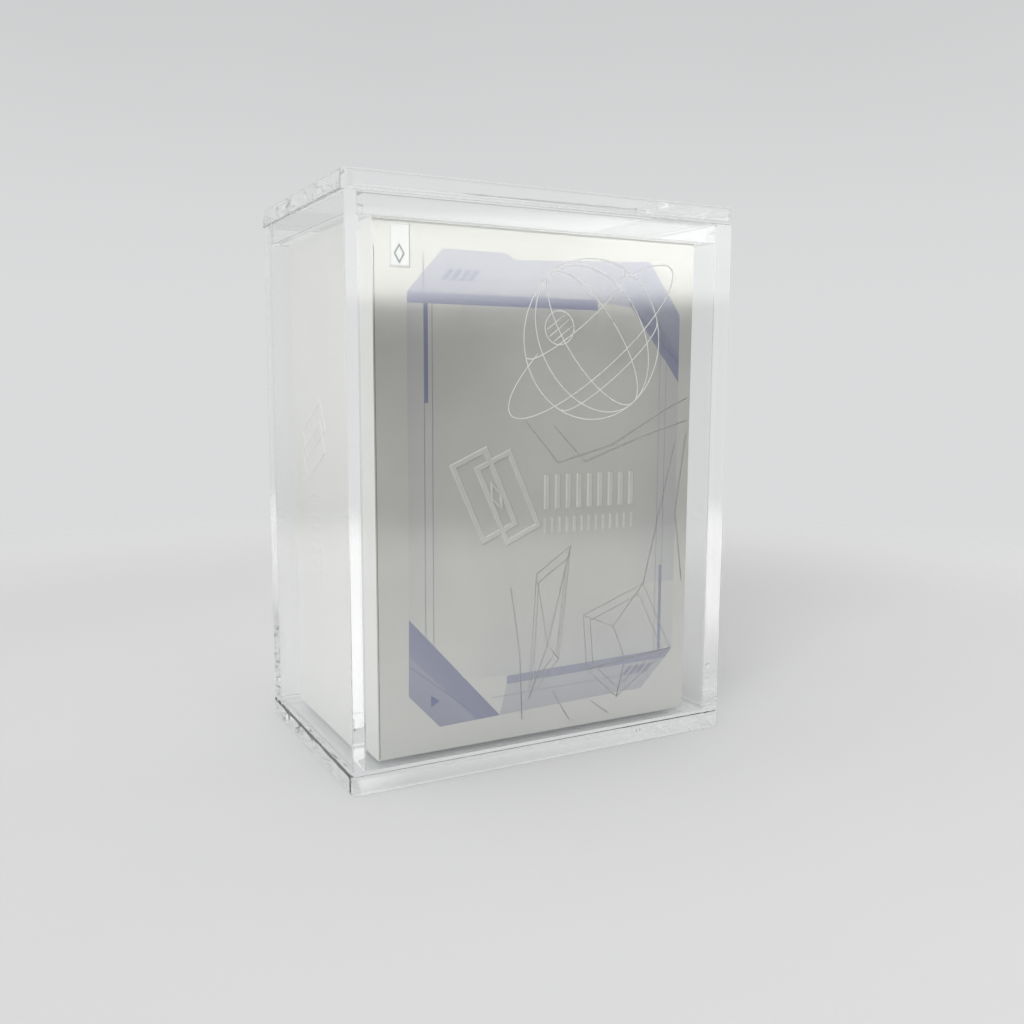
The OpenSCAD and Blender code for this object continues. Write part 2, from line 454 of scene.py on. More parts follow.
def soften(bm, radius, segments=3, chosen=None):
    """Rounds the sharp convex edges, and marks the middle of each rounding as worn."""
    bm.edges.ensure_lookup_table()
    edges = []
    for edge in bm.edges:
        if len(edge.link_faces) != 2 or edge.calc_face_angle(0.0) < 1.0:
            continue
        if not edge.is_convex or (chosen and not chosen(edge)):
            continue
        edges.append(edge)
    rounded = bmesh.ops.bevel(bm, geom=edges, offset=radius, offset_type="OFFSET", segments=segments,
                              profile=0.5, affect="EDGES", clamp_overlap=True)
    for face in rounded["faces"]:
        face.smooth = True
    wear = bm.verts.layers.float.get("wear") or bm.verts.layers.float.new("wear")
    faces = set(rounded["faces"])
    for vertex in rounded["verts"]:
        if all(face in faces for face in vertex.link_faces):
            vertex[wear] = 1.0


def round_outline(half_w, half_d, radius, inset, step, arc=7):
    """Points round a rectangle with round corners, anticlockwise, with the outward normal of each."""
    points = []
    inner_w, inner_d = half_w - radius, half_d - radius
    shrunk = radius - inset
    for quarter, (sx, sy) in enumerate(CORNERS):
        for i in range(arc + 1):
            angle = math.pi / 2 * (quarter + i / arc)
            normal = Vector((math.cos(angle), math.sin(angle)))
            points.append((Vector((sx * inner_w, sy * inner_d)) + normal * shrunk, normal))
        nsx, nsy = ((-1, 1), (-1, -1), (1, -1), (1, 1))[quarter]
        start, normal = points[-1]
        end = Vector((nsx * inner_w, nsy * inner_d)) + normal * shrunk
        count = max(2, int((end - start).length / step))
        for i in range(1, count):
            points.append((start.lerp(end, i / count), normal))
    return points


def plate(name, node_name, wave_ends, bond_side, bond, materials, body, seed, edge=0.9 * MM):
    """A clear plate with round corners, rounded and slightly wavy sawn edges, and open bonded joints.
    bond is (outer half width, outer half depth, strip width) of the ring bonded on bond_side."""
    low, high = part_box(node_name)
    half_w, half_d = (high.x - low.x) / 2, (high.y - low.y) / 2
    z0, z1 = (low.z, high.z - AIR) if bond_side > 0 else (low.z + AIR, high.z)
    arc_steps = 5
    levels = []
    for k in range(arc_steps + 1):
        angle = math.pi / 2 * k / arc_steps
        levels.append((z0 + edge * (1 - math.cos(angle)), edge * (1 - math.sin(angle))))
    middle = [(z0 + edge + (z1 - z0 - 2 * edge) * k / 6, 0.0) for k in range(1, 6)]
    upper = [(z1 - (z - z0), inset) for z, inset in reversed(levels)]
    levels = levels + middle + upper
    build = Builder()
    rings = []
    for z, inset in levels:
        ring = []
        for point, normal in round_outline(half_w, half_d, 3.4 * MM, inset, 2.0 * MM):
            depth = min((z - z0) / edge, (z1 - z) / edge, 1.0)
            wave = noise.noise(Vector((point.x * 70, point.y * 70, z * 55 + seed)))
            wave += 0.25 * noise.noise(Vector((point.x * 150, point.y * 150, z * 130 + seed)))
            amount = wave_ends * (0.03 + 0.97 * abs(normal.x) ** 3) * depth
            moved = point - normal * (abs(wave) * amount)
            ring.append((moved.x, moved.y, z))
        rings.append(ring)
    count = len(rings[0])
    for lower, above in zip(rings, rings[1:]):
        for i in range(count):
            j = (i + 1) % count
            build.face([lower[i], lower[j], above[j], above[i]], smooth=True, material=1)
    for ring, up in ((rings[0], False), (rings[-1], True)):
        places = list(ring)
        if (bond_side > 0) != up:
            build.face(places if up else places[::-1])
            continue
        level = ring[0][2]
        out_w, out_d, strip = bond
        corners = [(sx * out_w, sy * out_d, level) for sx, sy in CORNERS]
        inner = [(sx * (out_w - strip), sy * (out_d - strip), level) for sx, sy in CORNERS]
        owner = [nearest_corner(p, corners) for p in places]
        for i in range(count):
            j = (i + 1) % count
            shape = [places[i], places[j], corners[owner[j]]]
            if owner[i] != owner[j]:
                shape.append(corners[owner[i]])
            build.face(shape if up else shape[::-1])
        build.face(inner if up else inner[::-1])
    piece(name, build.bm, materials, body, [node_name])


def nearest_corner(place, corners):
    """Which of four corners lies in the same quarter of the plate as place."""
    for index, corner in enumerate(corners):
        if place[0] * corner[0] >= 0 and place[1] * corner[1] >= 0:
            return index
    return 0


def panel(name, node_name, open_test, cuts, clear, body, radius, lead_in):
    """A clear panel with polished edges, open where it is bonded to its neighbours.
    The case's panels keep a little air under the lid, and meet the base's and the lid's own faces."""
    low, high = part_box(node_name)
    if body == "case":
        low.z, high.z = low.z - AIR, high.z - AIR
    else:
        high.z += AIR
    build = Builder()
    box_surface(build, low, high, cuts, open_test)
    if lead_in:
        soften(build.bm, 0.6 * MM, 2, lead_in)
    soften(build.bm, radius, 3)
    piece(name, build.bm, [clear], body, [node_name])


# ==== the clear case and its lid
def panel_ring(name, node_name, seam, bonded_end, clear, body, radius, lead_in=None):
    """Four panels bonded to each other and, at their lower (0) or upper (1) end, to a plate.
    Both names have {} where the side goes. seam is where the side panels meet the wide ones."""

    def wide_open(axis, side, centre):
        if axis == 2 and side == bonded_end:
            return True
        inner = 1 if centre[1] < 0 else 0
        return axis == 1 and side == inner and abs(centre[0]) > seam

    def side_open(axis, side, centre):
        return (axis == 2 and side == bonded_end) or axis == 1

    for side in ("front", "back"):
        panel(name.format(side), node_name.format(side), wide_open, ((-seam, seam), (), ()),
              clear, body, radius, lead_in)
    for side in ("left", "right"):
        panel(name.format(side), node_name.format(side), side_open, ((), (), ()),
              clear, body, radius, lead_in)


def make_case(clear, sawn):
    """The base plate and the four walls bonded to it."""
    low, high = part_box("front_wall")
    thick = high.y - low.y
    out_w, out_d = high.x, -low.y
    plate("case_base", "base_plate", 0.30 * MM, 1, (out_w, out_d, thick), [clear, sawn], "case", 3.0)
    panel_ring("case_{}", "{}_wall", out_w - thick, 0, clear, "case", WALL_ROUND)


def make_glue_beads(clear):
    """The thin bead of solvent glue left standing in each inner corner of the case."""
    front_low, front_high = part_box("front_wall")
    inner_x, inner_y = -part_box("left_wall")[1].x, -front_high.y
    low, high = front_low.z + AIR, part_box("lid_rim_front")[0].z - 0.8 * MM
    leg = GLUE_LEG
    build = Builder()
    for sx, sy in CORNERS:
        x, y = sx * (inner_x - AIR), sy * (inner_y - AIR)
        corner = [(x, y), (x - sx * leg, y), (x - sx * 0.28 * leg, y - sy * 0.28 * leg), (x, y - sy * leg)]
        if sx * sy > 0:
            corner.reverse()
        build.face([(*p, low) for p in corner])
        build.face([(*p, high) for p in corner[::-1]])
        for a, b in zip(corner, corner[1:] + corner[:1]):
            build.face([(*b, low), (*a, low), (*a, high), (*b, high)])
    bmesh.ops.recalc_face_normals(build.bm, faces=build.bm.faces)
    piece("case_glue_beads", build.bm, [clear], "case")


def make_lid(clear, sawn):
    """The lid plate and the locating rim's four strips bonded under it."""
    low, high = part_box("lid_rim_front")
    thick = high.y - low.y
    out_w, out_d = high.x, -low.y
    plate("lid_top", "lid_plate", 0.36 * MM, -1, (out_w, out_d, thick), [clear, sawn], "lid", 11.0)

    def lead_in(edge):
        a, b = (v.co for v in edge.verts)
        flat = abs(a.z - b.z) < 1e-6 and abs(a.z - low.z) < 1e-6
        outer = max(abs(a.x), abs(b.x)) > out_w - 1e-6 and abs(a.x - b.x) < 1e-6
        outer = outer or (abs(a.y - b.y) < 1e-6 and abs(a.y) > out_d - 1e-6)
        return flat and outer

    panel_ring("lid_strip_{}", "lid_rim_{}", out_w - thick, 1, clear, "lid", RIM_ROUND, lead_in)


# ==== the carton's cover and its print
def make_cover(board, front):
    """The cover's board, with the front panel in its own darker, more metallic material: its darker colour
    is partly the front's silver-grey tint and partly painted shade.
    """
    low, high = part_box("carton_cover")
    build = Builder()
    box_surface(build, low, high, skip=lambda axis, side, centre: axis == 2 and side == 0)
    inner_low = Vector((low.x + BOARD, low.y + BOARD, low.z))
    inner_high = Vector((high.x - BOARD, high.y - BOARD, high.z - BOARD))
    box_surface(build, inner_low, inner_high, inward=True,
                skip=lambda axis, side, centre: axis == 2 and side == 0)
    outer = [(low.x, low.y), (high.x, low.y), (high.x, high.y), (low.x, high.y)]
    inner = [(inner_low.x, inner_low.y), (inner_high.x, inner_low.y),
             (inner_high.x, inner_high.y), (inner_low.x, inner_high.y)]
    for i in range(4):
        j = (i + 1) % 4
        ring = [outer[i], inner[i], inner[j], outer[j]]
        build.face([(x, y, low.z) for x, y in ring])
    soften(build.bm, 0.55 * MM, 4)
    for face in build.bm.faces:
        if face.calc_center_median().y < low.y + 0.05 * MM:
            face.material_index = 1
    piece("cover_board", build.bm, [board, front], "cover", ["carton_cover"])


def front_plane(lift):
    """Maps (x, z) in millimetres to the cover's front, lifted off it."""
    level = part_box("carton_cover")[0].y - lift
    return lambda u, v, h: (u * MM, level - h, v * MM)


def left_plane(lift):
    """Maps (y, z) in millimetres to the cover's left side, lifted off it."""
    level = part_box("carton_cover")[0].x - lift
    return lambda u, v, h: (level - h, -u * MM, v * MM)


def ribbon(build, points, profile, to_space, closed=False, smooth=True):
    """Lays a strip of the given cross-section, (across, height) in mm, along points in mm."""
    pts = [Vector(p) for p in points]
    count = len(pts)
    rows = []
    for i, point in enumerate(pts):
        before = pts[i - 1] if closed or i > 0 else None
        after = pts[(i + 1) % count] if closed or i < count - 1 else None
        ins = (point - before).normalized() if before is not None else None
        out = (after - point).normalized() if after is not None else None
        along = ((ins or out) + (out or ins)).normalized()
        across = Vector((along.y, -along.x))
        stretch = 1.0
        if ins is not None and out is not None:
            stretch = 1.0 / max(0.45, abs(across.dot(Vector((ins.y, -ins.x)))))
        row = [to_space(*(point + across * (offset * stretch)), height * MM)
               for offset, height in profile]
        rows.append(row)
    pairs = list(zip(rows, rows[1:])) + ([(rows[-1], rows[0])] if closed else [])
    for a, b in pairs:
        for i in range(len(profile) - 1):
            build.face([a[i], a[i + 1], b[i + 1], b[i]], smooth)
    if not closed and len(profile) > 2:
        build.face(rows[0][::-1])
        build.face(rows[-1])


def round_profile(width, height):
    return [(-width / 2, 0.0), (-width / 3, height * 0.7), (0.0, height),
            (width / 3, height * 0.7), (width / 2, 0.0)]


def bar_profile(width, height, slope=0.25):
    return [(-width / 2, 0.0), (-width / 2 + slope, height), (width / 2 - slope, height), (width / 2, 0.0)]


def arc_points(centre, radii, start, end, tilt=0.0, count=40):
    """Points on an ellipse, from one angle to another, turned by tilt. Degrees."""
    points = []
    turn = math.radians(tilt)
    for i in range(count + 1):
        angle = math.radians(start + (end - start) * i / count)
        x, y = radii[0] * math.cos(angle), radii[1] * math.sin(angle)
        points.append((centre[0] + x * math.cos(turn) - y * math.sin(turn),
                       centre[1] + x * math.sin(turn) + y * math.cos(turn)))
    return points


def inside(point, box):
    return box[0] <= point[0] <= box[2] and box[1] <= point[1] <= box[3]


def clipped(points, box):
    """The runs of points that lie inside a box, each long enough to draw."""
    runs, run = [], []
    for point in points:
        if inside(point, box):
            run.append(point)
        elif run:
            runs.append(run)
            run = []
    runs.append(run)
    return [r for r in runs if len(r) > 1]


# Flat print on the front, in mm: each shape's corners with the strength of the ink there.
PRINT = [
    # top field over the upper rule
    [(-54.5, 172.7, .30), (-41.1, 187.8, .26), (-16.1, 187.7, .26), (-12.9, 185.4, .26),
     (15.0, 186.7, .24), (15.0, 172.7, .22)],
    [(15.0, 172.7, .22), (15.0, 186.7, .24), (46.0, 188.1, .30), (60.9, 168.5, .40),
     (61.0, 160.0, .42), (44.0, 170.0, .34)],
    # upper rule
    [(-54.5, 168.9, .44), (-54.5, 172.7, .40), (22.6, 172.7, .44), (22.6, 168.9, .52)],
    # right-hand wedge
    [(35.0, 174.5, .34), (44.0, 174.0, .40), (61.0, 152.0, .50), (61.0, 142.0, .50)],
    [(44.0, 174.0, .30), (61.0, 165.0, .36), (61.0, 152.0, .44)],
    # side tints
    [(-54.7, 58.0, .03), (-54.7, 168.9, .12), (-48.4, 168.9, .05), (-48.4, 52.6, .02)],
    [(-48.4, 52.6, .02), (-48.4, 168.9, .05), (-34.0, 168.9, .0), (-34.0, 44.0, .0)],
    [(61.0, 33.9, .16), (54.5, 33.9, .09), (54.5, 150.6, .05), (61.0, 142.0, .10)],
    [(54.5, 33.9, .09), (40.0, 33.9, .0), (40.0, 163.0, .0), (54.5, 150.6, .05)],
    [(-34.0, 158.0, .0), (-34.0, 168.9, .06), (22.6, 168.9, .06), (22.6, 158.0, .0)],
    # lower left wedge and corner
    [(-54.9, 58.0, .50), (-18.5, 17.4, .52), (-28.5, 17.1, .48), (-55.0, 44.6, .46)],
    [(-55.0, 44.6, .38), (-28.5, 17.1, .40), (-43.1, 16.7, .44), (-55.2, 29.8, .41)],
    # lower rule and the field under and over it
    [(-15.5, 29.0, .40), (-15.5, 32.2, .40), (61.0, 33.9, .40), (57.6, 30.2, .40)],
    [(-18.5, 17.4, .22), (-15.5, 29.0, .16), (57.6, 30.2, .20), (46.0, 19.0, .24)],
    [(-15.5, 32.2, .09), (-15.5, 62.0, .0), (61.0, 62.0, .0), (61.0, 33.9, .11)],
    [(-15.5, 32.2, .09), (-34.0, 34.0, .0), (-34.0, 62.0, .0), (-15.5, 62.0, .0)],
]
# Thin printed rules: (from, to, width, ink)
RULES = [
    ((-47.65, 134.7), (-47.65, 168.9), 1.5, .52),
    ((54.25, 33.5), (54.25, 69.0), 1.3, .44),
    ((-48.4, 47.0), (-48.4, 186.0), 0.22, .45),
    ((-45.3, 43.0), (-45.3, 168.9), 0.22, .45),
    ((51.9, 33.9), (51.9, 166.0), 0.22, .34),
    ((54.9, 33.9), (54.9, 160.0), 0.22, .34),
    ((-38.0, 177.2), (22.0, 179.0), 0.20, .40),
    ((-55.0, 41.0), (-26.0, 17.2), 0.22, .60),
    ((37.0, 172.0), (61.0, 149.5), 0.20, .60),
    ((-22.0, 24.6), (49.0, 25.6), 0.20, .40),
]
HATCHES = [((-42.0, 177.0), 4, 3.4, 4.0), ((36.5, 25.4), 4, 3.2, 3.4)]
MARK = [(-46.6, 24.6, .62), (-46.6, 29.0, .62), (-43.2, 26.6, .62)]


def ink_face(build, layer, corners, to_space):
    made = build.face([to_space(x, z, 0.0) for x, z, _ in corners])
    if made is None:
        return
    made.normal_update()
    for vertex, (_, _, ink) in zip(made.verts, corners):
        vertex[layer] = min(1.0, ink * INK_STRENGTH)
    if made.normal.y > 0:
        made.normal_flip()


def subdivided(corners, step=6.0):
    """A four-cornered shape as a grid of smaller ones, so that its ink fades evenly."""
    a, b, c, d = (Vector(p) for p in corners)
    long = max((b - a).xy.length, (d - c).xy.length)
    wide = max((c - b).xy.length, (a - d).xy.length)
    nu, nv = max(1, int(wide / step)), max(1, int(long / step))

    def at(u, v):
        return tuple(a.lerp(b, v).lerp(d.lerp(c, v), u))

    return [[at(i / nu, j / nv), at(i / nu, (j + 1) / nv), at((i + 1) / nu, (j + 1) / nv),
             at((i + 1) / nu, j / nv)] for i in range(nu) for j in range(nv)]


def make_print(board):
    """The printed frame: tints, rules, hatches and wedges, each a film just off the board."""
    build = Builder()
    layer = build.bm.verts.layers.float.new("ink")
    for index, corners in enumerate(PRINT):
        to_space = front_plane((PRINT_LEVEL + PRINT_STEP * index) * MM)
        build.known = {}
        if len(corners) == 4:
            for cell in subdivided(corners):
                ink_face(build, layer, cell, to_space)
        else:
            ink_face(build, layer, corners, to_space)
    level = PRINT_LEVEL + PRINT_STEP * (len(PRINT) + 3)
    build.known = {}
    for start, end, width, ink in RULES:
        level += RULE_STEP
        to_space = front_plane(level * MM)
        a, b = Vector(start), Vector(end)
        across = Vector(((b - a).y, -(b - a).x)).normalized() * (width / 2)
        corners = [(*(a - across), ink), (*(a + across), ink), (*(b + across), ink), (*(b - across), ink)]
        ink_face(build, layer, corners, to_space)
    to_space = front_plane((level + RULE_STEP) * MM)
    for (x, z), count, step, height in HATCHES:
        for i in range(count):
            left = x + i * step
            corners = [(left, z, .42), (left + 2.0, z, .42), (left + 5.2, z + height, .42),
                       (left + 3.2, z + height, .42)]
            ink_face(build, layer, corners, to_space)
    ink_face(build, layer, MARK, to_space)
    piece("cover_print", build.bm, [board], "cover")


def emblem_lines(centre, size, tilt):
    """A plain mark: two overlapping card outlines, turned, with a small diamond between them."""
    shapes = []
    turn = math.radians(tilt)
    for offset in (-0.10, 0.10):
        corners = [(-0.17 + offset, -0.36 - offset * 0.6), (0.17 + offset, -0.36 - offset * 0.6),
                   (0.17 + offset, 0.36 - offset * 0.6), (-0.17 + offset, 0.36 - offset * 0.6)]
        shapes.append(corners)
    shapes.append([(0.0, -0.12), (0.05, 0.0), (0.0, 0.12), (-0.05, 0.0)])
    placed = []
    for corners in shapes:
        placed.append([(centre[0] + size * (x * math.cos(turn) - y * math.sin(turn)),
                        centre[1] + size * (x * math.sin(turn) + y * math.cos(turn)))
                       for x, y in corners])
    return placed


def lay_mark(build, lines, widths, height, step, slope, to_space):
    """The mark's three outlines, each a step higher than the one before, so that they can cross."""
    for index, (corners, width) in enumerate(zip(lines, widths)):
        build.known = {}
        profile = bar_profile(width, height + step * index, slope)
        ribbon(build, corners, profile, to_space, closed=True, smooth=False)


def lay_bars(build, count, first, pitch, profile, to_space):
    """A row of equal bars. first holds the first bar's ends, and pitch is the step to the next."""
    for i in range(count):
        ends = [(x + i * pitch[0], y + i * pitch[1]) for x, y in first]
        build.known = {}
        ribbon(build, ends, profile, to_space, smooth=False)


def make_emblem(relief_and_painted_glint, side_foil):
    """Raised marks on the front and the left side, with plain bars where a name would stand."""
    build = Builder()
    to_space = front_plane(0.01 * MM)
    lines = emblem_lines((-20.0, 100.4), 42.0, 24.0)
    lay_mark(build, lines, (2.3, 2.3, 1.3), MARK_HEIGHT, MARK_STEP, 0.42, to_space)
    lay_bars(build, 9, ((1.2, 94.6), (1.2, 107.6)), (4.75, 0.0), bar_profile(2.5, 0.42, 0.45), to_space)
    lay_bars(build, 13, ((0.6, 85.4), (0.6, 91.4)), (3.26, 0.0), bar_profile(1.5, 0.26, 0.35), to_space)
    piece("cover_emblem_front", build.bm, [relief_and_painted_glint], "cover")
    build = Builder()
    to_space = left_plane(0.01 * MM)
    lines = emblem_lines((-15.0, 119.0), 36.0, -62.0)
    lay_mark(build, lines, (1.7, 1.7, 1.1), SIDE_MARK_HEIGHT, SIDE_MARK_STEP, 0.25, to_space)
    lay_bars(build, 8, ((-20.0, 67.5), (-9.0, 67.5)), (0.0, 4.4), bar_profile(2.2, 0.16), to_space)
    piece("cover_emblem_left", build.bm, [side_foil], "cover")


# Line art on the front, in mm: the box it is cut to, the crystals' outlines and their inner lines.
ART_BOX = (-20.0, 10.0, 66.0, 195.4)
GEMS = [
    [(-3.0, 70.0), (12.0, 80.0), (7.0, 36.0), (-6.0, 22.0)],
    [(18.0, 52.0), (46.0, 62.0), (60.0, 34.0), (34.0, 17.0), (20.0, 30.0)],
]
FACETS = [
    [(-3.0, 70.0), (2.0, 42.0), (-6.0, 22.0)],
    [(12.0, 80.0), (2.0, 42.0), (7.0, 36.0)],
    [(18.0, 52.0), (32.0, 46.0), (46.0, 62.0)],
    [(32.0, 46.0), (38.0, 32.0), (60.0, 34.0)],
    [(20.0, 30.0), (38.0, 32.0), (34.0, 17.0)],
    [(-8.0, 128.0), (6.0, 112.0), (30.0, 118.0), (56.0, 132.0), (65.5, 136.0)],
    [(4.0, 126.0), (18.0, 112.0), (44.0, 121.0), (65.5, 127.0)],
    [(60.0, 118.0), (46.0, 62.0)],
    [(65.5, 122.0), (61.0, 90.0), (65.0, 62.0)],
    [(-14.0, 66.0), (-10.0, 40.0), (-9.0, 14.0)],
    [(22.0, 17.0), (30.0, 11.0)],
    [(4.0, 24.0), (12.0, 11.0)],
]


def lay_lines(name, lines, width, material):
    """Draws thin raised lines on the cover's front."""
    build = Builder()
    for index, line in enumerate(lines):
        to_space = front_plane((LINE_LEVEL + LINE_STEP * index) * MM)
        for run in clipped(line, ART_BOX):
            build.known = {}
            ribbon(build, run, bar_profile(width, 0.03, 0.06), to_space)
    piece(name, build.bm, [material], "cover")


def make_line_art(relief_and_painted_glint, painted_shade_lines):
    """A globe with its orbit in pale lines above, faceted crystals in grey lines below: painted reflections,
    pale where the lines would mirror the soft box and grey where they would mirror the darker room.
    """
    globe = (21.0, 158.0)
    lines = [arc_points(globe, (30.0, 30.0), 0, 360, 0, 90)]
    for wide in (11.0, 22.0):
        lines.append(arc_points(globe, (wide, 30.0), 0, 360, 38, 80))
    for reach, lift in ((27.0, 12.0), (27.0, -12.0)):
        centre = (globe[0] - 0.62 * lift, globe[1] + 0.79 * lift)
        lines.append(arc_points(centre, (reach, 5.0), 180, 360, 38, 40))
    lines.append(arc_points(globe, (45.0, 12.0), 120, 420, 38, 90))
    lines.append(arc_points((6.0, 162.0), (6.2, 6.2), 0, 360, 0, 40))
    for offset in (-2.6, 0.0, 2.6):
        half = math.sqrt(6.0 ** 2 - offset ** 2) * 0.9
        lines.append([(6.0 - half * 0.8 + offset * 0.6, 162.0 - half * 0.6 - offset * 0.8),
                      (6.0 + half * 0.8 + offset * 0.6, 162.0 + half * 0.6 - offset * 0.8)])
    lay_lines("cover_line_art", lines, 0.46, relief_and_painted_glint)
    lines = []
    for corners in GEMS:
        lines.append(corners + corners[:1])
        middle = Vector((sum(c[0] for c in corners), sum(c[1] for c in corners))) / len(corners)
        inset = [tuple(middle.lerp(Vector(c), 0.82)) for c in corners]
        lines.append(inset + inset[:1])
    lay_lines("cover_line_facets", lines + FACETS, 0.30, painted_shade_lines)


def make_seam_shade(dark):
    """A thin dark line down the front left edge, where the wrapping paper's joint leaves a gap: painted
    shade in that gap.
    """
    low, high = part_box("carton_cover")
    build = Builder()
    to_space = front_plane(-0.02 * MM)
    ribbon(build, [(low.x / MM + 0.62, low.z / MM + 0.6), (low.x / MM + 0.62, high.z / MM - 9.0)],
           round_profile(0.30, 0.05), to_space)
    piece("cover_seam_shade", build.bm, [dark], "cover")


def make_sticker(label, ink):
    """The label: a thin sheet with one corner starting to lift, and a small plain mark."""
    low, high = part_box("blank_sticker")
    wide, tall = high.x - low.x, high.z - low.z
    build = Builder()
    wear = build.bm.verts.layers.float.new("wear")
    nu, nv = 10, 18
    grid = {}
    for i in range(nu + 1):
        for j in range(nv + 1):
            u, v = i / nu, j / nv
            lift = 0.06 * MM * max(0.0, u + v - 1.7) ** 2 / 0.09
            y = high.y - 0.07 * MM - lift
            grid[i, j] = (low.x + u * wide, y, low.z + v * tall)
    for i in range(nu):
        for j in range(nv):
            build.face([grid[i, j], grid[i + 1, j], grid[i + 1, j + 1], grid[i, j + 1]], smooth=True)
    rim = [(i, 0) for i in range(nu)] + [(nu, j) for j in range(nv)]
    rim += [(i, nv) for i in range(nu, 0, -1)] + [(0, j) for j in range(nv, 0, -1)]
    back = {key: (grid[key][0], high.y - 0.01 * MM, grid[key][2]) for key in rim}
    for a, b in zip(rim, rim[1:] + rim[:1]):
        build.face([grid[a], back[a], back[b], grid[b]])
    for key in rim:
        build.vertex(grid[key])[wear] = 1.0
    piece("sticker_sheet", build.bm, [label], "cover", ["blank_sticker"])
    centre = ((low.x + high.x) / 2 / MM - 0.2, low.z / MM + 4.6)
    build = Builder()
    to_space = front_plane(0.10 * MM)
    diamond = [(centre[0], centre[1] - 2.9), (centre[0] + 1.7, centre[1]),
               (centre[0], centre[1] + 2.9), (centre[0] - 1.7, centre[1])]
    ribbon(build, diamond, [(-0.28, 0.0), (0.0, 0.01), (0.28, 0.0)], to_space, closed=True)
    piece("sticker_mark", build.bm, [ink], "cover")


# ==== what the carton holds
def card_outline(wide, tall, radius, arc=6):
    points = []
    for quarter, (sx, sz) in enumerate(CORNERS):
        for i in range(arc + 1):
            angle = math.pi / 2 * (quarter + i / arc)
            points.append((sx * (wide / 2 - radius) + radius * math.cos(angle),
                           sz * (tall / 2 - radius) + radius * math.sin(angle)))
    return points


def make_deck(node_name, cards, seed):
    """A deck as runs of a few cards each, slightly out of line with each other."""
    low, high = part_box(node_name)
    centre, size = (low + high) / 2, high - low
    rng = random.Random(seed)
    slabs = 40
    step = size.y / slabs
    play = 0.14 * MM
    outline = card_outline(size.x - 2 * play, size.z - 2 * play, 3.0 * MM)
    build = Builder()
    card = build.bm.verts.layers.float_vector.new("card")
    back = build.bm.verts.layers.float.new("back")
    for i in range(slabs):
        dx, dz = rng.uniform(-play, play), rng.uniform(-play, play * 0.2)
        y0 = low.y + i * step + 0.01 * MM
        y1 = low.y + (i + 1) * step - 0.01 * MM
        rings = []
        for y, inset, value in ((y0, 0.06 * MM, 1.0), (y0, 0.06 * MM, 0.0), (y0 + 0.05 * MM, 0.0, 0.0),
                                (y1 - 0.05 * MM, 0.0, 0.0), (y1, 0.06 * MM, 0.0), (y1, 0.06 * MM, 1.0)):
            ring = []
            for x, z in outline:
                scale = 1.0 - inset / (size.x / 2)
                made = build.bm.verts.new((centre.x + x * scale + dx, y, centre.z + z * scale + dz))
                made[card] = Vector((x / MM, z / MM, (y - low.y) / MM))
                made[back] = value
                ring.append(made)
            rings.append(ring)
        count = len(outline)
        for a, b in ((1, 2), (2, 3), (3, 4)):
            for k in range(count):
                j = (k + 1) % count
                face = build.bm.faces.new((rings[a][k], rings[b][k], rings[b][j], rings[a][j]))
                face.smooth = False
        build.bm.faces.new(rings[0])
        build.bm.faces.new(rings[5][::-1])
    bmesh.ops.recalc_face_normals(build.bm, faces=build.bm.faces)
    piece(f"cards_{node_name}", build.bm, [cards], node_name, [node_name])


def make_foam(foam):
    """The foam spacer, softly rounded, with a slightly uneven skin."""
    low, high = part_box("top_spacer")
    build = Builder()
    low = low + Vector((AIR, AIR, AIR))
    high = high - Vector((AIR, AIR, AIR))
    cuts = tuple(tuple(low[a] + (high[a] - low[a]) * k / n for k in range(1, n))
                 for a, n in ((0, 26), (1, 16), (2, 2)))
    box_surface(build, low, high, cuts)
    soften(build.bm, 1.1 * MM, 3)
    inner = Vector(((low.x + high.x) / 2, (low.y + high.y) / 2, (low.z + high.z) / 2))
    for vertex in build.bm.verts:
        wave = noise.noise(vertex.co * 70.0) * 0.12 * MM
        vertex.co += (inner - vertex.co).normalized() * (abs(wave) + 0.02 * MM)
    for face in build.bm.faces:
        face.smooth = True
    made = piece("foam_spacer", build.bm, [foam], "spacer", ["top_spacer"])


def dress_cad_node(nodes, name, material, width):
    """Keeps a CAD node's own shape, with its material and slightly softened edges."""
    shown = nodes[name]
    shown.data.materials.clear()
    shown.data.materials.append(material)
    weld = shown.modifiers.new("weld", "WELD")
    weld.merge_threshold = 0.001 * MM
    bevel = shown.modifiers.new("soft_edges", "BEVEL")
    bevel.width = width
    bevel.segments = 2
    bevel.limit_method = "ANGLE"
    bevel.angle_limit = math.radians(50)


# ==== stage
def direction_box(tree, azimuth, elevation, box):
    """A soft-edged patch of light in direction space."""
    az0, az1, el0, el1, soft, value = box
    for way, start, end in ((azimuth, az0, az1), (elevation, el0, el1)):
        rise = remap(tree, way, start - soft, start + soft, 0.0, 1.0, True)
        fall = remap(tree, way, end - soft, end + soft, 1.0, 0.0, True)
        value = times(tree, value, times(tree, rise, fall))
    return value


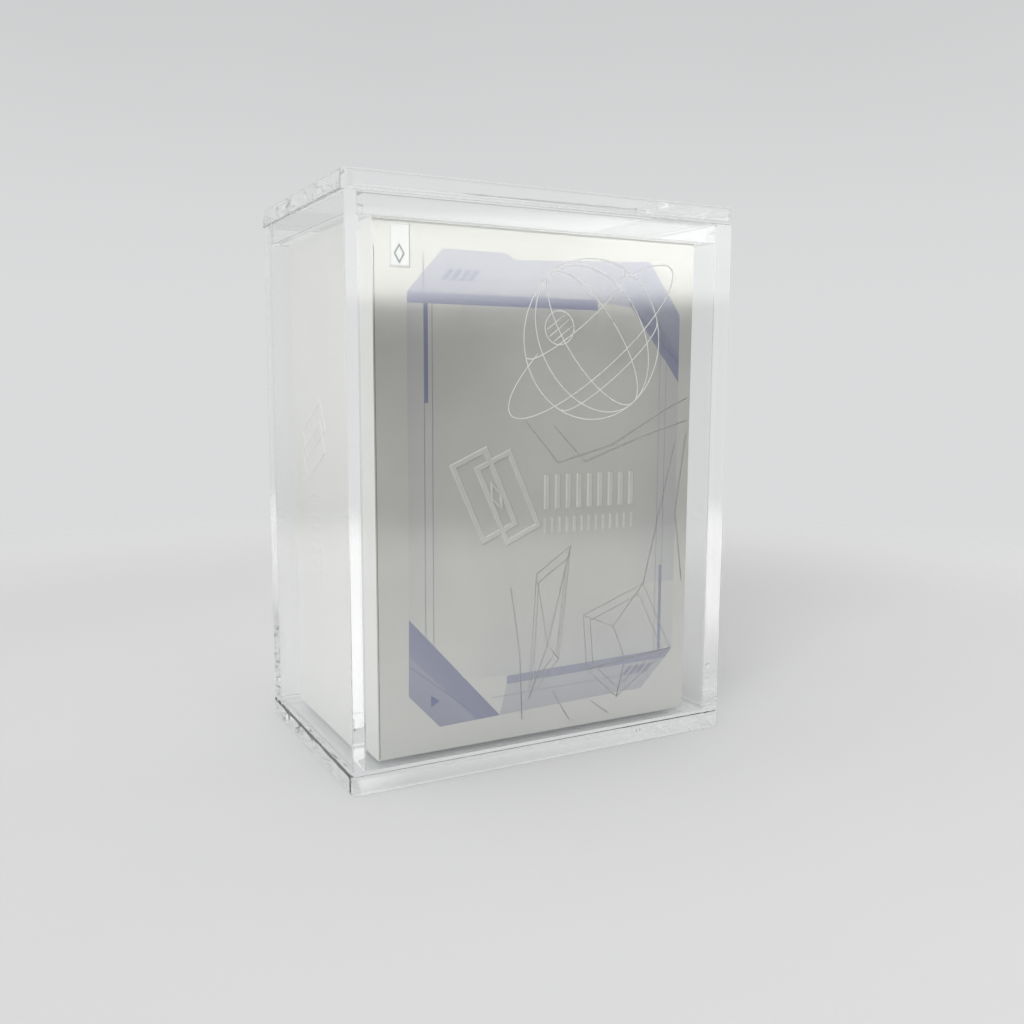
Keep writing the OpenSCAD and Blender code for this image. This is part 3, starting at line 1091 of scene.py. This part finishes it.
def make_world():
    """A pale backdrop to look at, and soft boxes round it that light the object and show in its gloss."""
    world = bpy.data.worlds.new("studio")
    bpy.context.scene.world = world
    world.use_nodes = True
    tree = world.node_tree
    tree.nodes.clear()
    way = node(tree, "TexCoord").outputs["Generated"]
    place = node(tree, "SeparateXYZ", {0: way}).outputs
    ahead = times(tree, place[1], -1.0)
    azimuth = math_node(tree, "ARCTAN2", place[0], ahead)
    azimuth = times(tree, azimuth, 180 / math.pi)
    elevation = times(tree, math_node(tree, "ARCSINE", place[2]), 180 / math.pi)
    total = STUDIO_BASE
    for box in STUDIO:
        total = math_node(tree, "ADD", direction_box(tree, azimuth, elevation, box), total)
    behind = math_node(tree, "ABSOLUTE", azimuth)
    total = math_node(tree, "ADD", direction_box(tree, behind, elevation, STUDIO_BACK), total)
    studio = node(tree, "Background", {"Strength": total, "Color": (1.0, 1.0, 0.985, 1.0)})
    height = remap(tree, elevation, 3.0, 24.0, 0.0, 1.0, True)
    cloud = noise_node(tree, way, 1.6, 2.0, 0.5)
    height = times(tree, height, remap(tree, cloud, 0.3, 0.7, 0.75, 1.1))
    sky = mix_colour(tree, height, BACKDROP_LOW, BACKDROP_HIGH)
    path = node(tree, "LightPath").outputs
    # Painted highlight: sight that crossed one plate only sees a paler backdrop.
    one_plate = math_node(tree, "LESS_THAN", path["Transmission Depth"], 3.0)
    one_plate = times(tree, one_plate, path["Is Transmission Ray"])
    gain = remap(tree, one_plate, 0.0, 1.0, 1.0, 1.0 + EDGE_GAIN)
    backdrop = node(tree, "Background", {"Color": sky, "Strength": gain})
    bounced = math_node(tree, "SUBTRACT", path["Ray Depth"], path["Transmission Depth"])
    mirrored = math_node(tree, "ABSOLUTE", math_node(tree, "SUBTRACT", bounced, 2.0))
    mirrored = math_node(tree, "MINIMUM", mirrored, 1.0)
    seen_through = times(tree, path["Is Transmission Ray"], mirrored)
    seen = math_node(tree, "MAXIMUM", path["Is Camera Ray"], seen_through)
    mixed = node(tree, "MixShader", {0: seen, 1: studio.outputs[0], 2: backdrop.outputs[0]})
    node(tree, "OutputWorld", {"Surface": mixed.outputs[0]})


def make_floor():
    """A disc of sweep paper under the object, cut into rings and spokes."""
    build = Builder()
    rings, spokes = 24, 96
    for r in range(rings):
        near, far = 1.3 * (r / rings) ** 1.5, 1.3 * ((r + 1) / rings) ** 1.5
        for s in range(spokes):
            a, b = 2 * math.pi * s / spokes, 2 * math.pi * (s + 1) / spokes
            build.face([(radius * math.cos(angle), radius * math.sin(angle), -FLOOR_DROP)
                        for radius, angle in ((near, a), (far, a), (far, b), (near, b))])
    mesh = bpy.data.meshes.new("floor")
    build.bm.to_mesh(mesh)
    build.bm.free()
    mesh.materials.append(floor_material("sweep_paper"))
    floor = bpy.data.objects.new("floor", mesh)
    bpy.context.scene.collection.objects.link(floor)


def make_lamp(name, place, aim, size, power):
    """A soft lamp that lights the board but shows in nothing."""
    data = bpy.data.lights.new(name, "AREA")
    data.shape = "RECTANGLE"
    data.size, data.size_y = size
    data.energy = power
    lamp = bpy.data.objects.new(name, data)
    bpy.context.scene.collection.objects.link(lamp)
    lamp.location = place
    way = Vector(aim) - Vector(place)
    lamp.rotation_euler = way.to_track_quat("-Z", "Y").to_euler()
    lamp.visible_camera = False
    lamp.visible_glossy = False
    lamp.visible_transmission = False


def make_camera():
    yaw, pitch, roll = (math.radians(a) for a in (CAMERA_YAW, CAMERA_PITCH, CAMERA_ROLL))
    forward = Vector((math.sin(yaw) * math.cos(pitch), math.cos(yaw) * math.cos(pitch), -math.sin(pitch)))
    right = Vector((math.cos(yaw), -math.sin(yaw), 0.0))
    up = right.cross(forward)
    x_axis = right * math.cos(roll) + up * math.sin(roll)
    y_axis = up * math.cos(roll) - right * math.sin(roll)
    data = bpy.data.cameras.new("camera")
    data.lens = CAMERA_LENS
    data.sensor_width = SENSOR
    data.clip_start, data.clip_end = 0.01, 50.0
    camera = bpy.data.objects.new("camera", data)
    bpy.context.scene.collection.objects.link(camera)
    turn = Matrix((x_axis, y_axis, -forward)).transposed()
    camera.matrix_world = Matrix.Translation(CAMERA_PLACE) @ turn.to_4x4()
    bpy.context.scene.camera = camera


def set_scene():
    scene = bpy.context.scene
    scene.view_settings.view_transform = "Standard"
    scene.view_settings.look = "None"
    scene.cycles.use_denoising = True
    scene.cycles.max_bounces = 80
    scene.cycles.diffuse_bounces = 4
    scene.cycles.glossy_bounces = 60
    scene.cycles.transmission_bounces = 40
    scene.cycles.transparent_max_bounces = 24
    scene.cycles.sample_clamp_indirect = 6.0


# ==== the scene
def main():
    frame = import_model()
    nodes = frame["nodes"]
    set_scene()
    make_world()
    make_floor()
    for lamp in LAMPS:
        make_lamp(*lamp)
    make_camera()

    clear = acrylic_material("clear_acrylic_face", 0.010 * MM, 22.0, (0.965, 0.972, 0.972))
    sawn = acrylic_material("clear_acrylic_edge", 0.05 * MM, 110.0, (0.86, 0.87, 0.875))
    board = pearl_board_material("pearl_board", SIDE_LIGHT, SIDE_DARK, 0.18)
    front = pearl_board_material("pearl_board_front", FRONT_LIGHT, FRONT_DARK, FRONT_METALLIC,
                                 FRONT_PAINTED_BOTTOM_LIGHT)
    printed = pearl_board_material("pearl_board_print", FRONT_LIGHT, FRONT_DARK, FRONT_METALLIC,
                                   FRONT_PAINTED_BOTTOM_LIGHT, printed=True)
    raised = relief_material("raised_board", (0.67, 0.665, 0.630), (0.63, 0.625, 0.595), 0.30, 0.20)
    raised_side = relief_material("raised_board_side", SIDE_LIGHT, SIDE_DARK, 0.18, 0.14)
    # Pale upper lines and grey lower lines: painted reflections of the soft box above and of the darker room
    # below.
    relief_and_painted_glint = relief_material("line_painted_glint", (0.95, 0.95, 0.94), (0.90, 0.90, 0.89), 0.10, 0.30)
    painted_shade_lines = relief_material("line_painted_shade", (0.47, 0.47, 0.455), (0.41, 0.41, 0.40), 0.25, 0.25)
    # The dark line at the cover's front left edge is painted shade in the gap there.
    seam = relief_material("seam_shadow", (0.16, 0.16, 0.17), (0.09, 0.09, 0.10), 0.0, 0.60)
    greyboard = rough_board_material("greyboard", (0.60, 0.53, 0.42), (0.50, 0.44, 0.34), (0.33, 0.28, 0.21))
    dyed = rough_board_material("dyed_board", (0.35, 0.36, 0.38), (0.27, 0.28, 0.30), (0.50, 0.51, 0.53))
    make_case(clear, sawn)
    make_glue_beads(clear)
    make_lid(clear, sawn)
    make_cover(board, front)
    make_print(printed)
    make_emblem(raised, raised_side)
    make_line_art(relief_and_painted_glint, painted_shade_lines)
    make_seam_shade(seam)
    mark = relief_material("label_ink", (0.40, 0.40, 0.42), (0.32, 0.32, 0.34), 0.0, 0.50)
    make_sticker(label_material("label_paper"), mark)
    cards = card_material("card_stock_layers")
    decks = [name for name in sorted(nodes) if "_deck_" in name]
    for index, name in enumerate(decks):
        make_deck(name, cards, 40 + index)
    make_foam(foam_material("closed_cell_foam"))
    for name in ("lower_long_divider", "lower_cross_divider", "upper_long_divider",
                 "upper_cross_divider", "tier_shelf"):
        dress_cad_node(nodes, name, greyboard, 0.12 * MM)
    dress_cad_node(nodes, "carton_tray", dyed, 0.20 * MM)


main()
